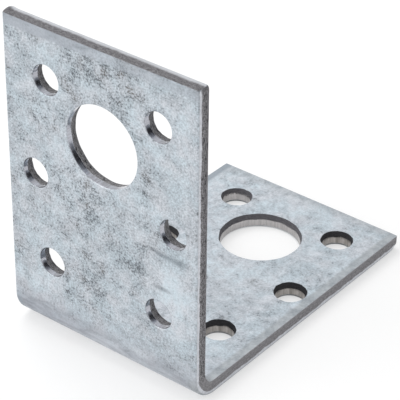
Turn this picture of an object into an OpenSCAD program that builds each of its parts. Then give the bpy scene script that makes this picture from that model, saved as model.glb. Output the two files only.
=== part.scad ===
// Corner brace bracket: one strip of galvanised steel, punched flat and folded once to a right angle

/* [Leaves] */
// Width of the strip, measured along the fold
strip_w = 40; // [38:1:80]
// Thickness of the sheet with its zinc
sheet_t = 2.6; // [1.8:0.1:4]
// Height of the upright leaf, from the underside of the lying leaf
upright_h = 60; // [58:1:120]
// Length of the lying leaf, from the outer face of the upright leaf
lying_l = 60; // [58:1:120]
// Radius of the four free corners, seen square to the leaf
corner_r = 0.3; // [0.1:0.1:3]

/* [Fold] */
// Radius on the inside of the fold
fold_r = 2.5; // [1:0.1:5]
// How far the steel squeezed out of the fold's inside stands proud of either long side
bulge_h = 0.2; // [0.1:0.05:0.4]
// Radius of that bulge on the long side
bulge_r = 1.4; // [1:0.1:1.4]
// Depth of the bulge's middle, from the outer face
bulge_depth = 1.8; // [1.8:0.1:2.1]

/* [Screw holes] */
// Diameter of a screw hole's smooth wall
screw_d = 5.5; // [3:0.1:6]
// From the long sides to the holes of the row at the free end, and of the row at the fold
outer_margin = 8.4; // [5:0.1:9]
// From the long sides to the holes of the middle row
middle_margin = 5.4; // [5:0.1:8]
// From the row at the free end to the middle row
end_to_middle = 18.6; // [16:0.1:19]
// From the middle row to the row at the fold
middle_to_fold = 16.7; // [8:0.1:18]
// From the upright leaf's free end to its first row
upright_margin = 9.4; // [5:0.1:10]
// From the lying leaf's free end to its first row
lying_margin = 8.3; // [5:0.1:10]
// How far the punched pattern sits to the right of the strip's middle
pattern_off = 0.5; // [-1:0.1:1]

/* [Large hole] */
// Diameter of the large hole's smooth wall
large_d = 14.8; // [8:0.1:15]
// From the row at the free end to the large hole's centre
end_to_large = 8; // [7:0.1:9]

/* [Cut edges] */
// Radius that slitting leaves on the outer face along both long sides
slit_roll = 0.3; // [0.1:0.1:0.8]
// Radius that cutting to length leaves on one face of each free end
end_roll = 0.4; // [0.1:0.1:0.8]
// How far from the lying leaf's corners, along both edges, the cuts have drawn the outer face deeper
drawn_len = 2.5; // [1.5:0.1:2.6]
// How deep those corners themselves are drawn
drawn_depth = 1.3; // [1:0.1:1.5]
// Radius of the ball that a drawn corner follows
drawn_ball_r = 5; // [5:0.5:8]
// Radius that the punch leaves round each hole on the outer face
punch_roll = 0.2; // [0.1:0.1:0.4]
// Depth of the smooth part of a hole's wall, from the outer face
smooth_depth = 1.3; // [0.6:0.1:1.5]
// How much wider the torn part of a hole's wall has become at the inner face, all round
tear_flare = 0.2; // [0:0.1:0.4]

/* [Hidden] */
$fn = 96;
// Radius on the outside of the fold
outer_r = fold_r + sheet_t;
// The drawn corner's ball passes through points drawn_len along both edges and drawn_depth down the corner.
// Its centre is as far in from one edge as from the other, and ball_slope times that plus ball_start deep.
ball_slope = drawn_len / drawn_depth;
ball_start = (drawn_depth - drawn_len * ball_slope) / 2;
// Whole, half and free term of the quadratic that the distance in from the edges solves
ball_whole = 2 + pow(ball_slope, 2);
ball_half = ball_slope * ball_start - drawn_len;
ball_free = pow(drawn_len, 2) + pow(ball_start, 2) - pow(drawn_ball_r, 2);
ball_in = (sqrt(pow(ball_half, 2) - ball_whole * ball_free) - ball_half) / ball_whole;
ball_deep = ball_slope * ball_in + ball_start;
// How far the cutting bodies reach past the faces that they cut
past = 1;

// A body and its mirror image on the other side of the strip
module both_sides() {
    children();
    mirror([1, 0, 0]) children();
}

// What rounding takes off a corner at the origin, from a body that lies along +X and +Y
module corner_waste(r) {
    difference() {
        translate([-r, -r]) square(2 * r);
        translate([r, r]) circle(r = r);
    }
}

// Cross-section of the slit strip: X across it, Y the depth from the outer face
module strip_section() {
    difference() {
        translate([-strip_w / 2, 0]) square([strip_w, sheet_t]);
        both_sides() translate([-strip_w / 2, 0]) corner_waste(slit_roll);
    }
}

// What rounding takes off a free corner, right through the sheet
module free_corner() {
    translate([-strip_w / 2, 0, -past])
        linear_extrude(sheet_t + 2 * past) corner_waste(corner_r);
}

// Waste at a free corner where slitting and cutting to length have both rolled the outer face
module drawn_corner() {
    difference() {
        translate([-strip_w / 2 - past, -past, -past])
            cube([ball_in + past, ball_in + past, sheet_t + past]);
        translate([ball_in - strip_w / 2, ball_in, ball_deep]) sphere(r = drawn_ball_r);
    }
}

// Waste along an end cut, which has rolled over the sheet's inner or outer face, and at its two corners
module end_cut(rolled_inside) {
    both_sides() {
        free_corner();
        if (!rolled_inside) drawn_corner();
    }
    translate([0, 0, rolled_inside ? sheet_t : 0])
        mirror([0, 0, rolled_inside ? 1 : 0])
            translate([-strip_w / 2 - past, 0, 0])
                rotate([90, 0, 90])
                    linear_extrude(strip_w + 2 * past) corner_waste(end_roll);
}

// One punched hole, Z the depth from the outer face: rolled rim, smooth wall, torn flare
module punched_hole(d) {
    r = d / 2;
    rotate_extrude() {
        translate([0, -past]) square([r, sheet_t + 2 * past]);
        translate([r, 0]) corner_waste(punch_roll);
        polygon([
            [0, smooth_depth],
            [r, smooth_depth],
            [r + tear_flare, sheet_t],
            [r + tear_flare, sheet_t + past],
            [0, sheet_t + past]
        ]);
    }
}

// All the holes of one leaf, Y the distance from its free end
module hole_pattern(margin) {
    outer_x = strip_w / 2 - outer_margin;
    middle_x = strip_w / 2 - middle_margin;
    fold_row = end_to_middle + middle_to_fold;
    translate([pattern_off, margin]) {
        both_sides() {
            translate([outer_x, 0]) punched_hole(screw_d);
            translate([middle_x, end_to_middle]) punched_hole(screw_d);
            translate([outer_x, fold_row]) punched_hole(screw_d);
        }
        translate([0, end_to_large]) punched_hole(large_d);
    }
}

// Flat leaf as far as the fold: X across, Y from the free end, Z the depth from the outer face
module leaf(len, margin, rolled_inside) {
    straight = len - outer_r;
    difference() {
        translate([0, straight, 0])
            rotate([90, 0, 0])
                linear_extrude(straight) strip_section();
        end_cut(rolled_inside);
        hole_pattern(margin);
    }
}

// Quarter turn of the strip between the leaves, about the fold's centre line along X
module fold() {
    rotate([0, 90, 0])
        rotate([0, 0, -90])
            rotate_extrude(angle = 90)
                translate([outer_r, 0]) rotate(90) strip_section();
}

// Flat cap of a ball on either long side, no deeper than the sheet: the steel squeezed out of the fold
module fold_bulges() {
    ball_r = (pow(bulge_r, 2) + pow(bulge_h, 2)) / (2 * bulge_h);
    both_sides() intersection() {
        translate([strip_w / 2 + bulge_h - ball_r, 0, 0])
            rotate([-45, 0, 0])
                translate([0, 0, bulge_depth - outer_r])
                    sphere(r = ball_r);
        translate([strip_w / 2 - bulge_h, 0, 0])
            rotate([0, 90, 0])
                rotate([0, 0, -90])
                    rotate_extrude(angle = 90)
                        translate([fold_r, 0]) square([sheet_t - slit_roll, 3 * bulge_h]);
    }
}

// The whole bracket, standing on its lying leaf with the middle of its footprint at the origin
module bracket() {
    color([0.73, 0.77, 0.80]) {
        translate([0, -lying_l / 2, upright_h])
            rotate([-90, 0, 0])
                leaf(upright_h, upright_margin, true);
        translate([0, outer_r - lying_l / 2, outer_r]) {
            fold();
            fold_bulges();
        }
        translate([0, lying_l / 2, 0])
            mirror([0, 1, 0])
                leaf(lying_l, lying_margin, false);
    }
}

bracket();
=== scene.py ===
import bpy
import numpy as np
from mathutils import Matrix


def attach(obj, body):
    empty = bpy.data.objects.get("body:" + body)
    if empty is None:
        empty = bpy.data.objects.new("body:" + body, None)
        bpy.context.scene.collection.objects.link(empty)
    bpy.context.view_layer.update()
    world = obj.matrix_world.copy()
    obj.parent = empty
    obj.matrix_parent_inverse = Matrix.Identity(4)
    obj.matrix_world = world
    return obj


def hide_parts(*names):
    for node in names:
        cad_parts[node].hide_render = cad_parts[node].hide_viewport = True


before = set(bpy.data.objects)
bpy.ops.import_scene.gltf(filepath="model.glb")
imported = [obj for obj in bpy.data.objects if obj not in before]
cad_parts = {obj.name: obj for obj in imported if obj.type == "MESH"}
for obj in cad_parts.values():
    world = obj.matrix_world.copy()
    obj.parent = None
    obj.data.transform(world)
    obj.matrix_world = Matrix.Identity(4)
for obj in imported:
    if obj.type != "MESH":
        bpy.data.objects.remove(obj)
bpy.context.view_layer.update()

# The bracket's blank. One strip of zinc-coated sheet steel, slit to width, punched from the face that ends
# up outside, and cut to length. Lengths here are millimetres on the flat strip: u runs across it, s along
# it from the start of the fold (negative on the upright leaf), and w is the depth from the outer face.
STRIP_HALF = 20.0
SHEET = 2.6
INSIDE_RADIUS = 2.5
OUTSIDE_RADIUS = INSIDE_RADIUS + SHEET
LEAF = 60.0 - OUTSIDE_RADIUS
TURN = (INSIDE_RADIUS + SHEET / 2) * np.pi / 2
STRIP_END = TURN + LEAF
CORNER_RADIUS = 0.3
EDGE_BAND = 1.0
DRAWN_BALL = (2.98, 3.98, 5.0)
UPRIGHT_DRAWN = 0.35


def waves(position, period, size, seed, slowest, fastest):
    """Irregular line: a sum of cosines of whole numbers of waves in the period, from slowest to fastest,
    with seeded phases, each one's height falling with the square root of its number, scaled so that the
    line's spread is about size."""
    number = np.arange(slowest, fastest + 1)
    phase = np.random.default_rng(seed).uniform(0, 2 * np.pi, number.size)
    height = 1 / np.sqrt(number)
    angle = 2 * np.pi * np.multiply.outer(np.asarray(position) / period, number) + phase
    return size * (np.cos(angle) * height).sum(-1) / np.sqrt((height ** 2).sum() / 2)


def slit_depths(s):
    """Depth at which the slit sides stop being smooth and start being torn, wavering along the strip."""
    return 0.86 + waves(s, 130.0, 0.06, 11, 6, 90)


def side_inset(s, w):
    """How far a long side lies inside the nominal width: a rolled quarter circle of 0.3 mm at the outer
    face, a torn part that leans in by up to 0.05 mm, and at the fold the steel squeezed outwards by
    0.2 mm near the inner face and drawn in by 0.1 mm near the outer face, both as a squared sine of the
    way round the fold."""
    rolled = 0.3 - np.sqrt(np.clip(0.09 - np.clip(0.3 - w, 0, 0.3) ** 2, 0, None))
    torn = 0.05 * np.clip((w - slit_depths(s)) / (SHEET - 0.9), 0, 1) ** 0.6
    around = np.sin(np.pi * np.clip(s / TURN, 0, 1)) ** 2
    squeezed = 0.2 * np.clip((w - 0.7) / 1.1, 0, 1) ** 1.5
    drawn = 0.1 * np.clip(1 - w / 0.8, 0, 1)
    return rolled + torn + around * (drawn - squeezed)


def end_inset(u, s, w):
    """The same for a free end, which has its roll of 0.4 mm on the inner face of the upright leaf and on
    the outer face of the lying leaf, because the strip was cut to length from opposite sides. A burr of
    0.4 mm stands up at the upright leaf's left corner: over the thickness it follows the square root of
    half a sine wave, and along the cut it sinks to nothing within 1.5 mm."""
    upright = s < TURN / 2
    depth = np.where(upright, SHEET - w, w)
    rolled = 0.4 - np.sqrt(np.clip(0.16 - np.clip(0.4 - depth, 0, 0.4) ** 2, 0, None))
    torn = 0.05 * np.clip((depth - 1.0) / (SHEET - 1.0), 0, 1) ** 0.6
    left = np.clip(1 - (u + STRIP_HALF) / 1.5, 0, 1)
    burr = 0.4 * left ** 2 * (3 - 2 * left) * np.sqrt(np.sin(np.pi * w / SHEET).clip(0))
    return rolled + torn - upright * burr


def drawn_corner(a, b, d):
    """The cuts draw the rolled face deeper at a corner. With a and b the distances from the edges and d the
    depth from the rolled face, a point outside a ball of 5 mm is pulled straight in to its surface: by the
    mean of its distance x beyond the ball and the root of x squared plus 0.12 squared, so that the face
    bends over softly. The pull fades out between 2.2 and 3.2 mm from the edges."""
    in_from_edges, deep, ball_radius = DRAWN_BALL
    away = np.sqrt((a - in_from_edges) ** 2 + (b - in_from_edges) ** 2 + (d - deep) ** 2)
    beyond_ball = away - ball_radius
    pull = (beyond_ball + np.sqrt(beyond_ball ** 2 + 0.12 ** 2)) / 2
    for distance in (a, b):
        fade = np.clip(3.2 - distance, 0, 1)
        pull = pull * fade * fade * (3 - 2 * fade)
    part = pull / away
    return a + part * (in_from_edges - a), b + part * (in_from_edges - b), d + part * (deep - d)


def trimmed(u, s, w):
    """Moves points of the square-cornered strip to their place on the cut one. With a the distance from
    the near long side and b from the near end, the corner's square shells become quarter circles: a point
    at (p, q) inside the corner square, measured from the circle's centre, is scaled by max(p, q) over its
    own distance. Then the band next to the cut is squeezed inwards by the cut's inset, less the further
    in it lies, and the corners are drawn deeper: less on the upright leaf, where slitting has rolled the
    other face."""
    u, s, w = np.broadcast_arrays(u, s, w)
    upright = s < TURN / 2
    a = STRIP_HALF - np.abs(u)
    b = np.where(upright, s + LEAF, STRIP_END - s)
    p = np.clip(CORNER_RADIUS - a, 0, None)
    q = np.clip(CORNER_RADIUS - b, 0, None)
    in_corner = (p > 0) & (q > 0)
    reach = np.where(in_corner, np.hypot(p, q), 1)
    scale = np.where(in_corner, np.maximum(p, q) / reach, 1)
    across = np.where(in_corner, p / reach, a <= b)
    along = np.where(in_corner, q / reach, a > b)
    share = along ** 2
    inset = (1 - share) * side_inset(s, w) + share * end_inset(u, s, w)
    inset = inset * np.clip(1 - np.minimum(a, b) / EDGE_BAND, 0, 1)
    a = np.where(in_corner, CORNER_RADIUS - p * scale, a) + across * inset
    b = np.where(in_corner, CORNER_RADIUS - q * scale, b) + along * inset
    size = np.where(upright, UPRIGHT_DRAWN, 1)
    depth = np.where(upright, SHEET - w, w)
    a, b, depth = [size * v for v in drawn_corner(a / size, b / size, depth / size)]
    w = np.where(upright, SHEET - depth, depth)
    return np.sign(u) * (STRIP_HALF - a), np.where(upright, b - LEAF, STRIP_END - b), w


def folded(u, s, w):
    """Place on the folded bracket, in metres. Before the fold, s runs down the upright leaf. Within it the
    point turns about the fold's centre line through a quarter turn times s over the fold's length, at the
    outside radius less w. After it, s runs out along the lying leaf."""
    angle = np.clip(s / TURN, 0, 1) * np.pi / 2
    radius = OUTSIDE_RADIUS - w
    before = np.clip(-s, 0, None)
    after = np.clip(s - TURN, 0, None)
    y = OUTSIDE_RADIUS - 30.0 - radius * np.cos(angle) + after
    z = OUTSIDE_RADIUS - radius * np.sin(angle) + before
    return np.stack([u, y, z], -1) * 0.001


def grid_faces(rows, columns):
    """Quads between neighbouring rows and columns of a grid whose points are counted row by row."""
    corner = np.arange(rows - 1)[:, None] * columns + np.arange(columns - 1)
    return np.stack([corner, corner + columns, corner + columns + 1, corner + 1], -1).reshape(-1, 4)


# Each part of the skin is (points, flat-pattern coordinates, how far beyond the smooth cut, faces, finish).
# the last two finishes are the punched wall painted darker and browner for the lying leaf's holes: painted
# shade, deep and light
ZINC, SHEARED, PUNCHED, PUNCHED_LOW_DEEP_SHADE, PUNCHED_LOW_LIGHT_SHADE = range(5)
skin = []

near_cut = np.concatenate([[0, 0.1, 0.2, 0.3, 0.45], np.arange(0.6, 3.1, 0.2)])
from_cut = np.concatenate([near_cut, np.arange(3.5, LEAF, 0.5), [LEAF]])
side_lines = np.concatenate([near_cut, np.arange(3.5, 20, 0.5)])
u_lines = np.concatenate([side_lines - STRIP_HALF, [0], (STRIP_HALF - side_lines)[::-1]])
fold_lines = np.linspace(0, TURN, 15)[1:-1]
s_lines = np.concatenate([from_cut - LEAF, fold_lines, (STRIP_END - from_cut)[::-1]])

# The punched holes, as (u, s, radius, half window across, half window along, depth of the smooth part,
# finish). The pattern sits half a millimetre off the strip's middle, and 1.1 mm nearer the free end on the
# lying leaf, where the punch cut smoothly a little deeper, and deepest at the free end's left. The window
# is the piece of the strip's lattice that a hole's own rings of faces replace.
SCREW_RADIUS = 2.75
LARGE_RADIUS = 7.4
PATTERN_OFF = 0.5
UPRIGHT_MARGIN = 9.4
LYING_MARGIN = 8.3
END_TO_LARGE = 8.0
SCREW_ROWS = [(0.0, 11.6), (18.6, 14.6), (35.3, 11.6)]
UPRIGHT_SMOOTH = 1.22
# the lying leaf's small holes take the punched wall with deep painted shade; the free end's left one and
# the large hole take lighter painted shade
LYING_WALL = (1.42, PUNCHED_LOW_DEEP_SHADE)
LYING_END_WALLS = {-1: (1.65, PUNCHED_LOW_LIGHT_SHADE), 1: (1.52, PUNCHED_LOW_DEEP_SHADE)}
holes = []
for row, half_pair in SCREW_ROWS:
    for side in (-1, 1):
        u = PATTERN_OFF + side * half_pair
        holes.append((u, UPRIGHT_MARGIN + row - LEAF, SCREW_RADIUS, 3.5, 3.5, UPRIGHT_SMOOTH, PUNCHED))
        wall = LYING_END_WALLS[side] if row == 0 else LYING_WALL
        holes.append((u, STRIP_END - LYING_MARGIN - row, SCREW_RADIUS, 3.5, 3.5, *wall))
holes.append((PATTERN_OFF, UPRIGHT_MARGIN + END_TO_LARGE - LEAF, LARGE_RADIUS, 8.0, 8.5,
              UPRIGHT_SMOOTH, PUNCHED))
holes.append((PATTERN_OFF, STRIP_END - LYING_MARGIN - END_TO_LARGE, LARGE_RADIUS, 8.0, 8.5,
              1.5, PUNCHED_LOW_LIGHT_SHADE))


def nearest(lines, value):
    """Number of the line nearest to a value."""
    return int(np.abs(lines - value).argmin())


windows = []
for u, s, _, half_u, half_s, _, _ in holes:
    windows.append((nearest(u_lines, u - half_u), nearest(u_lines, u + half_u),
                    nearest(s_lines, s - half_s), nearest(s_lines, s + half_s)))

# The two flat-rolled faces, coated with zinc: a lattice that is fine next to the cuts, without the windows.
solid = np.ones((s_lines.size - 1, u_lines.size - 1), bool)
for left, right, low, high in windows:
    solid[low:high, left:right] = False
lattice = grid_faces(s_lines.size, u_lines.size)[solid.ravel()]
lattice_s, lattice_u = np.meshgrid(s_lines, u_lines, indexing="ij")
for depth, faces in ((0.0, lattice), (SHEET, lattice[:, ::-1])):
    points = np.stack(trimmed(lattice_u, lattice_s, depth), -1).reshape(-1, 3)
    skin.append((points, points[:, :2], np.zeros(len(points)), faces, np.full(len(faces), ZINC)))

# The holes' walls: a shallow rim rolled on the outer face, a smooth burnished part that the punch rubbed,
# and a torn part that flares out to the inner face, rough and ragged.
RIM_WIDE = 0.25
RIM_DEEP = 0.15
FLARE = 0.26
for number, ((u, s, radius, _, _, smooth, wall_finish), (left, right, low, high)) in enumerate(
        zip(holes, windows)):
    ring_u = np.concatenate([u_lines[left:right], np.full(high - low, u_lines[right]),
                             u_lines[right:left:-1], np.full(high - low + 1, u_lines[left])])
    ring_s = np.concatenate([np.full(right - left, s_lines[low]), s_lines[low:high],
                             np.full(right - left, s_lines[high]), s_lines[high:low:-1], [s_lines[low]]])
    angle = np.arctan2(ring_s - s, ring_u - u)
    turn = angle / (2 * np.pi)
    rng = np.random.default_rng(100 + number)

    # rows of the wall, from the outer face inwards: radius beyond the nominal one, and depth
    roll = np.linspace(0, np.pi / 2, 7)[:, None]
    smooth_end = smooth + waves(turn, 1, 0.07, 200 + number, 2, 14)
    rim_out = RIM_WIDE * (1 - np.sin(roll)) + 0 * angle
    rim_depth = RIM_DEEP * (1 - np.cos(roll)) + 0 * angle
    part = np.linspace(0, 1, 4)[1:, None]
    smooth_out = 0.0 * part + 0 * angle
    smooth_depth = RIM_DEEP + part * (smooth_end - RIM_DEEP)
    part = np.linspace(0, 1, 7)[1:, None]
    rough = rng.normal(0, 0.025, (6, angle.size))
    rough[:, -1] = rough[:, 0]
    break_out = FLARE + waves(turn, 1, 0.03, 300 + number, 3, 20)
    torn_out = 0.03 + (break_out - 0.03) * part ** 0.8 + rough * np.sin(np.pi * part) ** 0.5
    torn_depth = smooth_end + part * (SHEET - smooth_end)

    out = np.concatenate([rim_out, smooth_out, torn_out])
    depth = np.concatenate([rim_depth, smooth_depth, torn_depth])
    wall_u = u + (radius + out) * np.cos(angle)
    wall_s = s + (radius + out) * np.sin(angle)
    around = np.unwrap(angle) * radius
    points = np.stack([wall_u, wall_s, depth], -1).reshape(-1, 3)
    pattern = np.stack([around + 0 * depth, depth], -1).reshape(-1, 2)
    beyond = (depth - smooth_end).ravel()
    faces = grid_faces(len(out), angle.size)
    rim_faces = faces[: 6 * (angle.size - 1)]
    wall_faces = faces[6 * (angle.size - 1):]
    skin.insert(0, (points, pattern, beyond, wall_faces, np.full(len(wall_faces), wall_finish)))
    skin.append((points, points[:, :2], beyond, rim_faces, np.full(len(rim_faces), ZINC)))

    # rings of faces between the hole and its window, on the outer and on the inner face
    for row, depth_here, outward in ((0, 0.0, False), (-1, SHEET, True)):
        share = np.linspace(0, 1, 5)[:, None]
        span_u = wall_u[row] + share * (ring_u - wall_u[row])
        span_s = wall_s[row] + share * (ring_s - wall_s[row])
        points = np.stack([span_u, span_s, 0 * span_u + depth_here], -1).reshape(-1, 3)
        faces = grid_faces(5, angle.size)
        skin.append((points, points[:, :2], np.zeros(len(points)),
                     faces if outward else faces[:, ::-1], np.full(len(faces), ZINC)))

# The cut round the whole blank: slit along the sides, sheared across the ends. The loop runs up one side,
# across the end, down the other side and back. Depths of the rows follow the smooth part's ragged end.
loop_u = np.concatenate([np.full(s_lines.size - 1, STRIP_HALF), u_lines[:0:-1],
                         np.full(s_lines.size - 1, -STRIP_HALF), u_lines])
loop_s = np.concatenate([s_lines[:-1], np.full(u_lines.size - 1, STRIP_END),
                         s_lines[:0:-1], np.full(u_lines.size, -LEAF)])
steps = np.hypot(np.diff(loop_u), np.diff(loop_s))
loop_way = np.concatenate([[0], np.cumsum(steps)])
near_side = STRIP_HALF - np.abs(loop_u)
near_end = np.where(loop_s < TURN / 2, loop_s + LEAF, STRIP_END - loop_s)
p = np.clip(CORNER_RADIUS - near_side, 0, None)
q = np.clip(CORNER_RADIUS - near_end, 0, None)
share_end = np.where((p > 0) & (q > 0), q ** 2 / np.maximum(p ** 2 + q ** 2, 1e-9), near_side > near_end)
upright_end = share_end * (loop_s < TURN / 2)

ROLL_ROWS = 6
roll = np.linspace(0, np.pi / 2, ROLL_ROWS)[:, None]
roll_depth = 0.3 * (1 - np.cos(roll)) + 0 * loop_u
smooth_end = slit_depths(loop_s) + share_end * (0.3 + waves(loop_u, 40.0, 0.05, 12, 2, 30))
part = np.linspace(0, 1, 4)[1:, None]
smooth_depth = 0.3 + part * (smooth_end - 0.3)
part = np.linspace(0, 1, 8)[1:, None]
torn_depth = smooth_end + part * (SHEET - smooth_end)
from_outside = np.concatenate([roll_depth, smooth_depth, torn_depth])
from_inside = SHEET - from_outside[::-1]
depth = (1 - upright_end) * from_outside + upright_end * from_inside
beyond = (1 - upright_end) * (from_outside - smooth_end) + upright_end * (SHEET - from_inside - smooth_end)
cut_u, cut_s, cut_w = trimmed(loop_u, loop_s, depth)
points = np.stack([cut_u, cut_s, cut_w], -1).reshape(-1, 3)
pattern = np.stack([loop_way + 0 * depth, depth], -1).reshape(-1, 2)
faces = grid_faces(len(depth), loop_u.size)[:, ::-1]
row = np.arange(len(depth) - 1)[:, None]
rolled = np.where(upright_end[:-1] > 0.5, row >= len(depth) - ROLL_ROWS, row < ROLL_ROWS - 1)
skin.insert(0, (points, pattern, beyond.ravel(), faces, np.where(rolled.ravel(), ZINC, SHEARED)))

# One closed skin: the parts' points that lie at the same place of the blank become one.
all_points = np.concatenate([part[0] for part in skin])
all_beyond = np.concatenate([part[2] for part in skin])
offsets = np.cumsum([0] + [len(part[0]) for part in skin[:-1]])
all_faces = np.concatenate([part[3] + offset for part, offset in zip(skin, offsets)])
all_pattern = np.concatenate([part[1] for part in skin])
finish = np.concatenate([part[4] for part in skin])
used, corner = np.unique(all_faces, return_inverse=True)
_, first, same = np.unique(np.round(all_points[used], 4), axis=0, return_index=True, return_inverse=True)
blank = all_points[used[first]]
places = folded(blank[:, 0], blank[:, 1], blank[:, 2])
welded = same.ravel()[corner.reshape(all_faces.shape)]

skin_mesh = bpy.data.meshes.new("bracket_skin")
skin_mesh.from_pydata(places.tolist(), [], welded.tolist())
skin_mesh.polygons.foreach_set("use_smooth", np.ones(len(welded), bool))
flat_pattern = skin_mesh.uv_layers.new(name="flat_pattern")
flat_pattern.data.foreach_set("uv", all_pattern[all_faces.ravel()].astype(np.float32).ravel())
torn = skin_mesh.attributes.new("beyond_smooth", "FLOAT", "POINT")
torn.data.foreach_set("value", all_beyond[used[first]].astype(np.float32))
skin_mesh.update()
skin_mesh.set_sharp_from_angle(angle=np.radians(32))
bracket = bpy.data.objects.new("folded_bracket", skin_mesh)
bpy.context.scene.collection.objects.link(bracket)
print("bracket skin:", len(places), "points,", len(welded), "faces")


# The zinc on both faces and round the rolled rims. Hot-dip zinc, drawn out by the rolls and dulled since:
# pale blue-grey, clouded over centimetres, blotched over millimetres, and speckled dark where it has been
# rubbed and handled.
def fresh_material(name):
    """Empty node tree with a principled shader on its output; returns material, tree and shader."""
    material = bpy.data.materials.new(name)
    material.use_nodes = True
    tree = material.node_tree
    tree.nodes.clear()
    shader = tree.nodes.new("ShaderNodeBsdfPrincipled")
    output = tree.nodes.new("ShaderNodeOutputMaterial")
    tree.links.new(shader.outputs["BSDF"], output.inputs["Surface"])
    return material, tree, shader


def noise(tree, place, scale, detail=2.0, roughness=0.5, distortion=0.0):
    """Noise texture on a place socket; its value socket."""
    texture = tree.nodes.new("ShaderNodeTexNoise")
    texture.inputs["Scale"].default_value = scale
    texture.inputs["Detail"].default_value = detail
    texture.inputs["Roughness"].default_value = roughness
    texture.inputs["Distortion"].default_value = distortion
    tree.links.new(place, texture.inputs["Vector"])
    return texture.outputs["Fac"]


def stretched(tree, place, scale, turned=(0.0, 0.0, 0.0)):
    """The place, turned and then scaled along each axis."""
    mapping = tree.nodes.new("ShaderNodeMapping")
    mapping.inputs["Rotation"].default_value = turned
    mapping.inputs["Scale"].default_value = scale
    tree.links.new(place, mapping.inputs["Vector"])
    return mapping.outputs["Vector"]


def sums(tree, operation, first, second):
    """Math node on two sockets or numbers."""
    math = tree.nodes.new("ShaderNodeMath")
    math.operation = operation
    for socket, value in zip(math.inputs, (first, second)):
        if isinstance(value, (int, float)):
            socket.default_value = value
        else:
            tree.links.new(value, socket)
    return math.outputs["Value"]


def weighed(tree, *parts):
    """Sum of sockets, each times its weight, given as (socket, weight)."""
    total = None
    for socket, weight in parts:
        part = sums(tree, "MULTIPLY", socket, weight)
        total = part if total is None else sums(tree, "ADD", total, part)
    return total


def ranged(tree, value, low, high, to_low=0.0, to_high=1.0):
    """Maps a value from low..high to to_low..to_high, with soft ends."""
    ranger = tree.nodes.new("ShaderNodeMapRange")
    ranger.interpolation_type = "SMOOTHSTEP"
    ranger.inputs["From Min"].default_value = low
    ranger.inputs["From Max"].default_value = high
    ranger.inputs["To Min"].default_value = to_low
    ranger.inputs["To Max"].default_value = to_high
    tree.links.new(value, ranger.inputs["Value"])
    return ranger.outputs["Result"]


def blended(tree, share, first, second):
    """Mix of two colours, given as sockets or as red, green, blue; share 0 is the first."""
    mix = tree.nodes.new("ShaderNodeMix")
    mix.data_type = "RGBA"
    tree.links.new(share, mix.inputs["Factor"])
    for socket, colour in ((mix.inputs["A"], first), (mix.inputs["B"], second)):
        if isinstance(colour, tuple):
            socket.default_value = colour + (1.0,)
        else:
            tree.links.new(colour, socket)
    return mix.outputs["Result"]


def near_places(tree, place, places):
    """Sum of soft round spots: for each (x, y, z, radius, strength), in millimetres, the strength at the
    spot's middle falling to nothing at its radius."""
    total = None
    for x, y, z, radius, strength in places:
        distance = tree.nodes.new("ShaderNodeVectorMath")
        distance.operation = "DISTANCE"
        distance.inputs[1].default_value = (x * 0.001, y * 0.001, z * 0.001)
        tree.links.new(place, distance.inputs[0])
        spot = ranged(tree, distance.outputs["Value"], 0, radius * 0.001, strength, 0)
        total = spot if total is None else sums(tree, "ADD", total, spot)
    return total


# where the zinc is most rubbed, and where it has stayed pale
RUBBED = [(-2, -30, 57, 9, 0.7), (5, -30, 54, 9, 0.7), (-7, -30, 53, 6, 0.5), (9, -30, 40, 6, 0.4),
          (-14, -30, 43, 7, 0.5), (-5, -30, 32, 10, 0.7), (7, -30, 22.5, 4.5, 0.9), (-4, -30, 15, 11, 0.6),
          (9.7, -30, 40, 1.5, 0.9), (9.4, -30, 37.8, 1.5, 1.0), (9, -30, 35.5, 1.4, 0.8),
          (3, -30, 27, 4, 0.4), (-13, -30, 43, 3, 0.5), (12, -30, 20.5, 2, 0.8), (17, 10, 2.6, 10, 0.3),
          (8, 4, 2.6, 8, 0.1), (-2, -8, 2.6, 9, 0.45), (14, 26, 2.6, 6, 0.2), (-10, 24, 2.6, 8, 0.25)]
PALE = [(15, -30, 38, 8, 0.6), (15, -30, 21, 8, 0.8), (-11, -30, 55, 4, 0.7), (-13, -30, 39, 5, 0.5),
        (17, -30, 50, 8, 0.4), (-14, -30, 10, 8, 0.3), (0, 26, 2.6, 7, 0.4), (16, -30, 16, 9, 0.9),
        (4, -30, 12, 4, 0.5), (12, -20, 2.6, 9, 0.5), (20, -30, 28, 7, 0.5), (20, -30, 43, 7, 0.5),
        (14.5, -30, 24, 6, 1)]

zinc, tree, shader = fresh_material("galvanised_zinc")
place = tree.nodes.new("ShaderNodeTexCoord").outputs["Object"]
split = tree.nodes.new("ShaderNodeSeparateXYZ")
tree.links.new(place, split.inputs["Vector"])
across, along, height = split.outputs
clouds = noise(tree, place, 70, 3, 0.55)
tint = noise(tree, place, 230, 5, 0.6)
mottle = noise(tree, place, 420, 8, 0.75, 0.3)
grains = noise(tree, place, 2600, 3, 0.8)
wear = sums(tree, "SUBTRACT", near_places(tree, place, RUBBED), near_places(tree, place, PALE))

# pale crystals and greyer ones between them, tinged blue or lilac, with dark grains where it is rubbed
pale = blended(tree, ranged(tree, tint, 0.35, 0.65), (0.66, 0.75, 0.81), (0.71, 0.738, 0.785))
upright = ranged(tree, height, 0.0035, 0.006)
grains = sums(tree, "MULTIPLY", sums(tree, "SUBTRACT", grains, 0.5), ranged(tree, upright, 0, 1, 0.5, 1))
tone = weighed(tree, (clouds, 0.35), (mottle, 1.05), (grains, 1.45), (wear, 0.10))
colour = blended(tree, ranged(tree, tone, 0.315, 1.135), pale, (0.29, 0.325, 0.36))
dark = weighed(tree, (mottle, 1.0), (grains, 1.15), (clouds, 0.15), (wear, 0.15))
soot = blended(tree, ranged(tree, tint, 0.5, 0.66), (0.125, 0.14, 0.155), (0.145, 0.13, 0.11))
colour = blended(tree, ranged(tree, dark, 0.655, 0.88), colour, soot)
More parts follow.
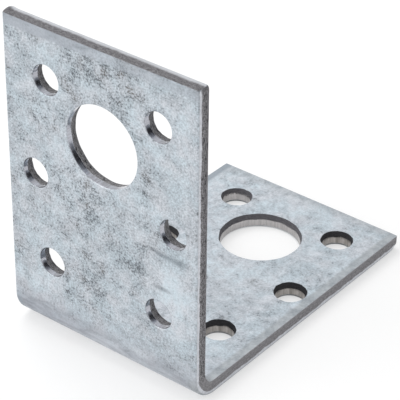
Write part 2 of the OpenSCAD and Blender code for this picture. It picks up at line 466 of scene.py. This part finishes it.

# smoother where the bending tool wiped the fold, with painted shade making it darker to the left, and
# where the shear's blade pressed the top flat; smudged along the strip in a few places
drawn_out = stretched(tree, place, (0.25, 1, 1))
wipes = noise(tree, drawn_out, 520, 6, 0.65, 0.4)
streaky = ranged(tree, wipes, 0.3, 0.7)
smudges = near_places(tree, drawn_out, [(3.95, -30, 27.25, 1.1, 1.0), (3.3, -30, 27.3, 0.6, 0.9),
                                        (2.75, -30, 27.6, 0.5, 0.8), (3.2, -30, 20.7, 0.7, 0.8),
                                        (-3.6, -30, 5, 2, 0.6)])
smudges = sums(tree, "MULTIPLY", smudges, ranged(tree, wipes, 0.35, 0.6, 0.45))
colour = blended(tree, smudges, colour, (0.14, 0.165, 0.19))
front = ranged(tree, along, -0.026, -0.02, 1, 0)
wiped = sums(tree, "MULTIPLY", ranged(tree, height, 0.003, 0.010, 0.7, 0), front)
# painted shade: both colours of the wiped fold are darker towards its left end
wiped_pale_shaded_left = blended(tree, ranged(tree, across, -0.012, 0.006), (0.48, 0.505, 0.56), (0.70, 0.73, 0.78))
wiped_dark_shaded_left = blended(tree, ranged(tree, across, -0.012, 0.006), (0.22, 0.22, 0.255), (0.32, 0.33, 0.37))
colour = blended(tree, wiped, colour, blended(tree, streaky, wiped_pale_shaded_left, wiped_dark_shaded_left))
pressed = ranged(tree, weighed(tree, (height, 1.0), (mottle, 0.0008)), 0.0583, 0.0588)
pressed = sums(tree, "MULTIPLY", pressed, ranged(tree, across, -0.006, 0.006, 0.8, 0.5))
pressed_pale = blended(tree, ranged(tree, across, -0.012, 0), (0.43, 0.465, 0.515), (0.50, 0.54, 0.595))
colour = blended(tree, pressed, colour, blended(tree, streaky, pressed_pale, (0.32, 0.35, 0.39)))

# a greyer border along the lying leaf's free edges, darkest at the left
lying = sums(tree, "SUBTRACT", 1.0, upright)
raggedly_across = weighed(tree, (across, 1.0), (mottle, 0.0008))
right = ranged(tree, raggedly_across, 0.0184, 0.0191, 0, 0.8)
far = ranged(tree, weighed(tree, (along, 1.0), (mottle, 0.0008)), 0.0275, 0.0300, 0, 0.5)
border = sums(tree, "MULTIPLY", sums(tree, "MAXIMUM", right, far), lying)
colour = blended(tree, border, colour, blended(tree, ranged(tree, mottle, 0.4, 0.6), (0.43, 0.455, 0.475),
                                               (0.32, 0.345, 0.37)))
left = sums(tree, "MULTIPLY", ranged(tree, raggedly_across, -0.0186, -0.0179, 0.85, 0), lying)
colour = blended(tree, left, colour, (0.30, 0.34, 0.385))
shader.inputs["Metallic"].default_value = 0.6
tree.links.new(colour, shader.inputs["Base Color"])
tree.links.new(ranged(tree, tone, 0.325, 1.125, 0.44, 0.6), shader.inputs["Roughness"])
bump = tree.nodes.new("ShaderNodeBump")
bump.inputs["Strength"].default_value = 0.4
bump.inputs["Distance"].default_value = 0.00006
tree.links.new(weighed(tree, (mottle, 0.6), (grains, 0.6)), bump.inputs["Height"])
tree.links.new(bump.outputs["Normal"], shader.inputs["Normal"])


# The bare steel where the blank was cut: smooth and streaked through the thickness as far as the knife or
# the punch went in, torn dull and dark beyond. The knife smeared zinc over its smooth part; the punch wiped
# its own clean. The walls of the lying leaf's holes take copies of the punched wall painted browner and
# darker than the upright leaf's: painted shade inside the holes and a painted reflection of the shaded
# table under them.
def cut_steel(name, smooth, torn, roughness, line):
    """Material of a cut, given two colours of the smooth part and two of the torn part, the smooth part's
    roughness, and how dark a line runs below the roll."""
    material, tree, shader = fresh_material(name)
    place = tree.nodes.new("ShaderNodeTexCoord").outputs["Object"]
    pattern = tree.nodes.new("ShaderNodeUVMap")
    pattern.uv_map = "flat_pattern"
    pattern = pattern.outputs["UV"]
    attribute = tree.nodes.new("ShaderNodeAttribute")
    attribute.attribute_name = "beyond_smooth"
    beyond = attribute.outputs["Fac"]
    streaks = noise(tree, stretched(tree, pattern, (1.8, 0.2, 1.0)), 1.0, 4, 0.65)
    tatters = noise(tree, stretched(tree, pattern, (2.6, 1.2, 1.0)), 1.0, 4, 0.65)
    flecks = noise(tree, stretched(tree, pattern, (1.6, 3.4, 1.0)), 1.0, 4, 0.65)
    grit = noise(tree, place, 6500, 2, 0.6)

    heights = tree.nodes.new("ShaderNodeSeparateXYZ")
    tree.links.new(place, heights.inputs["Vector"])
    upright = ranged(tree, heights.outputs["Z"], 0.0035, 0.006)
    top = ranged(tree, heights.outputs["Z"], 0.0588, 0.0595)

    # the two parts meet in a ragged line, and more gradually across the upright leaf's top end
    raggedly_beyond = weighed(tree, (beyond, 1.0), (tatters, 0.35))
    elsewhere = sums(tree, "SUBTRACT", 1.0, top)
    abrupt = sums(tree, "MULTIPLY", ranged(tree, raggedly_beyond, 0.14, 0.22), elsewhere)
    gradual = sums(tree, "MULTIPLY", ranged(tree, raggedly_beyond, -0.38, 0.30), top)
    beyond_smooth = sums(tree, "ADD", abrupt, gradual)
    smooth_colour = blended(tree, ranged(tree, streaks, 0.35, 0.65), smooth[1], smooth[0])
    in_pattern = tree.nodes.new("ShaderNodeSeparateXYZ")
    tree.links.new(pattern, in_pattern.inputs["Vector"])
    deep = in_pattern.outputs["Y"]
    below_roll = sums(tree, "MULTIPLY", ranged(tree, deep, 0.24, 0.3), ranged(tree, deep, 0.34, 0.42, 1, 0))
    smooth_colour = blended(tree, sums(tree, "MULTIPLY", below_roll, line), smooth_colour, (0.2, 0.2, 0.21))
    smooth_colour = blended(tree, sums(tree, "MULTIPLY", top, 0.6), smooth_colour, (0.74, 0.76, 0.80))

    # flecked and pitted most along the upright leaf's sides, and evenly dark across its top end; the torn
    # part is always a little darker further in on the upright leaf, and paler again at the very edge
    fine = sums(tree, "MULTIPLY", sums(tree, "SUBTRACT", grit, 0.5), ranged(tree, upright, 0, 1, 0.2, 1.0))
    flecked = sums(tree, "ADD", sums(tree, "MULTIPLY", sums(tree, "SUBTRACT", flecks, 0.5), 0.8), fine)
    contrast = sums(tree, "ADD", weighed(tree, (upright, 0.75), (top, -0.15)), 0.25)
    flecked = sums(tree, "MULTIPLY", flecked, contrast)
    torn_colour = blended(tree, ranged(tree, flecked, -0.11, 0.11), torn[0], torn[1])
    darker = sums(tree, "MULTIPLY", ranged(tree, beyond, 0.2, 1.0, 0, 0.4), upright)
    darker = sums(tree, "MAXIMUM", darker, sums(tree, "MULTIPLY", top, 0.6))
    torn_colour = blended(tree, darker, torn_colour, torn[1])
    torn_colour = blended(tree, ranged(tree, beyond, 1.3, 1.65, 0, 0.2), torn_colour, torn[0])
    pits = noise(tree, stretched(tree, pattern, (0.9, 2.2, 1.0)), 1.0, 3, 0.6)
    pits = sums(tree, "MULTIPLY", ranged(tree, pits, 0.56, 0.66), upright)
    torn_colour = blended(tree, sums(tree, "MULTIPLY", pits, elsewhere), torn_colour, (0.01, 0.01, 0.012))
    tree.links.new(blended(tree, beyond_smooth, smooth_colour, torn_colour), shader.inputs["Base Color"])
    tree.links.new(ranged(tree, beyond_smooth, 0, 1, 1, 0.3), shader.inputs["Metallic"])
    tree.links.new(ranged(tree, beyond_smooth, 0, 1, roughness, 0.7), shader.inputs["Roughness"])
    bump = tree.nodes.new("ShaderNodeBump")
    bump.inputs["Strength"].default_value = 0.6
    bump.inputs["Distance"].default_value = 0.0001
    rough = sums(tree, "MULTIPLY", weighed(tree, (grit, 1.0), (flecks, 1.0)), beyond_smooth)
    tree.links.new(weighed(tree, (rough, 1.0), (streaks, 0.12)), bump.inputs["Height"])
    tree.links.new(bump.outputs["Normal"], shader.inputs["Normal"])
    return material


sheared = cut_steel("sheared_edge", ((0.62, 0.64, 0.68), (0.50, 0.515, 0.555)),
                    ((0.46, 0.45, 0.47), (0.085, 0.083, 0.09)), 0.3, 0.3)
punched = cut_steel("punched_wall", ((0.53, 0.55, 0.61), (0.39, 0.395, 0.43)),
                    ((0.38, 0.375, 0.385), (0.12, 0.117, 0.125)), 0.17, 0.0)
# painted shade and painted reflection: darker, browner copies of the punched wall for the lying leaf's
# holes
punched_low_deep_shade = cut_steel("punched_wall_low_deep_painted_shade", ((0.43, 0.405, 0.39), (0.25, 0.235, 0.22)),
                        ((0.07, 0.068, 0.075), (0.02, 0.02, 0.022)), 0.3, 0.0)
punched_low_light_shade = cut_steel("punched_wall_low_light_painted_shade", ((0.46, 0.445, 0.445), (0.37, 0.36, 0.36)),
                             ((0.20, 0.195, 0.21), (0.06, 0.058, 0.066)), 0.25, 0.0)

for material in (zinc, sheared, punched, punched_low_deep_shade, punched_low_light_shade):
    skin_mesh.materials.append(material)
skin_mesh.polygons.foreach_set("material_index", finish.astype(np.int32))
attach(bracket, "root")
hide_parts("bracket")

# The studio: a white table, which the bracket stands on, and a white surround. The table's own glow, which
# only keeps its white, is taken away under the lying leaf, except under the open holes: a painted contact
# shadow, dark along the leaf's edges and round its holes' rims.
table_mesh = bpy.data.meshes.new("table")
reach = 1.5
table_mesh.from_pydata([(-reach, -reach, -0.0002), (reach, -reach, -0.0002), (reach, reach, -0.0002),
                        (-reach, reach, -0.0002)], [], [(0, 1, 2, 3)])
table = bpy.data.objects.new("table", table_mesh)
bpy.context.scene.collection.objects.link(table)
white = bpy.data.materials.new("white_table")
white.use_nodes = True
tree = white.node_tree
tree.nodes.clear()
diffuse = tree.nodes.new("ShaderNodeBsdfDiffuse")
diffuse.inputs["Color"].default_value = (0.8, 0.8, 0.8, 1)
shadowed = tree.nodes.new("ShaderNodeBsdfDiffuse")
shadowed.inputs["Color"].default_value = (0.5, 0.5, 0.5, 1)
glow = tree.nodes.new("ShaderNodeEmission")
place = tree.nodes.new("ShaderNodeTexCoord").outputs["Object"]
split = tree.nodes.new("ShaderNodeSeparateXYZ")
tree.links.new(place, split.inputs["Vector"])
across, along, _ = split.outputs
# painted contact shadow: no glow within the lying leaf's outline, save soft discs a little wider than its
# holes
within = ranged(tree, sums(tree, "ABSOLUTE", across, 0), 0.0193, 0.0197, 1, 0)
beyond_fold = ranged(tree, along, -0.026, -0.025)
before_end = ranged(tree, along, 0.0294, 0.0298, 1, 0)
painted_shadow_under_leaf = sums(tree, "MULTIPLY", within, sums(tree, "MULTIPLY", beyond_fold, before_end))
openings = [(u, s - TURN - 30 + OUTSIDE_RADIUS, 0, 1.15 * radius, 1) for u, s, radius, *_ in holes if s > 0]
open_sky = ranged(tree, near_places(tree, place, openings), 0, 0.05)
glow_outside_painted_shadow = sums(tree, "SUBTRACT", 1.0, sums(tree, "MULTIPLY", painted_shadow_under_leaf, sums(tree, "SUBTRACT", 1.0, open_sky)))
tree.links.new(sums(tree, "MULTIPLY", glow_outside_painted_shadow, 0.52), glow.inputs["Strength"])
both = tree.nodes.new("ShaderNodeAddShader")
tree.links.new(shadowed.outputs["BSDF"], both.inputs[0])
tree.links.new(glow.outputs["Emission"], both.inputs[1])
ray = tree.nodes.new("ShaderNodeLightPath")
seen = sums(tree, "MAXIMUM", ray.outputs["Is Camera Ray"],
            sums(tree, "MAXIMUM", ray.outputs["Is Glossy Ray"], ray.outputs["Is Transmission Ray"]))
choice = tree.nodes.new("ShaderNodeMixShader")
tree.links.new(seen, choice.inputs["Fac"])
tree.links.new(diffuse.outputs["BSDF"], choice.inputs[1])
tree.links.new(both.outputs["Shader"], choice.inputs[2])
output = tree.nodes.new("ShaderNodeOutputMaterial")
tree.links.new(choice.outputs["Shader"], output.inputs["Surface"])
table_mesh.materials.append(white)

surround = bpy.data.worlds.new("white_surround")
bpy.context.scene.world = surround
surround.use_nodes = True
tree = surround.node_tree
tree.nodes.clear()
sky = tree.nodes.new("ShaderNodeBackground")
ray = tree.nodes.new("ShaderNodeLightPath")
seen = sums(tree, "MAXIMUM", ray.outputs["Is Camera Ray"],
            sums(tree, "MAXIMUM", ray.outputs["Is Glossy Ray"], ray.outputs["Is Transmission Ray"]))
tree.links.new(ranged(tree, seen, 0, 1, 0.88, 1.0), sky.inputs["Strength"])
output = tree.nodes.new("ShaderNodeOutputWorld")
tree.links.new(sky.outputs["Background"], output.inputs["Surface"])


def softbox(name, place, target, width, height, power):
    """Adds a rectangular lamp at a place, turned towards a target."""
    lamp = bpy.data.lights.new(name, "AREA")
    lamp.shape = "RECTANGLE"
    lamp.size = width
    lamp.size_y = height
    lamp.energy = power
    box = bpy.data.objects.new(name, lamp)
    box.location = place
    aim = np.array(target) - np.array(place)
    tilt = np.arccos(-aim[2] / np.linalg.norm(aim))
    box.rotation_euler = (tilt, 0, np.arctan2(aim[1], aim[0]) - np.pi / 2)
    bpy.context.scene.collection.objects.link(box)


softbox("key_softbox", (-0.35, -0.6, 0.45), (0, 0, 0.02), 0.5, 0.5, 1.8)
softbox("top_softbox", (-0.35, 0.1, 0.7), (0, 0, 0.02), 0.5, 0.5, 2.2)

# A black curtain behind the bracket on the right, paler towards its top and its foot. Only shiny metal
# shows it.
curtain_mesh = bpy.data.meshes.new("black_curtain")
bearing = np.radians([28, 80])
foot = 0.33 * np.stack([np.cos(bearing), np.sin(bearing)], -1)
curtain_mesh.from_pydata([(*foot[0], 0), (*foot[1], 0), (*foot[1], 0.56), (*foot[0], 0.56)], [],
                         [(0, 1, 2, 3)])
curtain = bpy.data.objects.new("black_curtain", curtain_mesh)
bpy.context.scene.collection.objects.link(curtain)
curtain.visible_camera = False
black, tree, shader = fresh_material("black_cloth")
split = tree.nodes.new("ShaderNodeSeparateXYZ")
tree.links.new(tree.nodes.new("ShaderNodeTexCoord").outputs["Object"], split.inputs["Vector"])
paler = sums(tree, "MAXIMUM", ranged(tree, split.outputs["Z"], 0.20, 0.52),
             ranged(tree, split.outputs["Z"], 0.02, 0.13, 0.6, 0))
cloth = blended(tree, paler, (0.01, 0.01, 0.012), (0.5, 0.53, 0.57))
tree.links.new(cloth, shader.inputs["Base Color"])
shader.inputs["Roughness"].default_value = 0.9
curtain_mesh.materials.append(black)

# The camera, where the photograph was taken from: solved from the outline and the holes.
lens = bpy.data.cameras.new("camera")
lens.lens = 175.73
lens.sensor_width = 36
lens.clip_start = 0.01
camera = bpy.data.objects.new("camera", lens)
camera.location = (0.17524, -0.22783, 0.20451)
camera.rotation_euler = np.radians((56.923, -0.570, 38.406))
bpy.context.scene.collection.objects.link(camera)
bpy.context.scene.camera = camera
bpy.context.scene.view_settings.view_transform = "Standard"
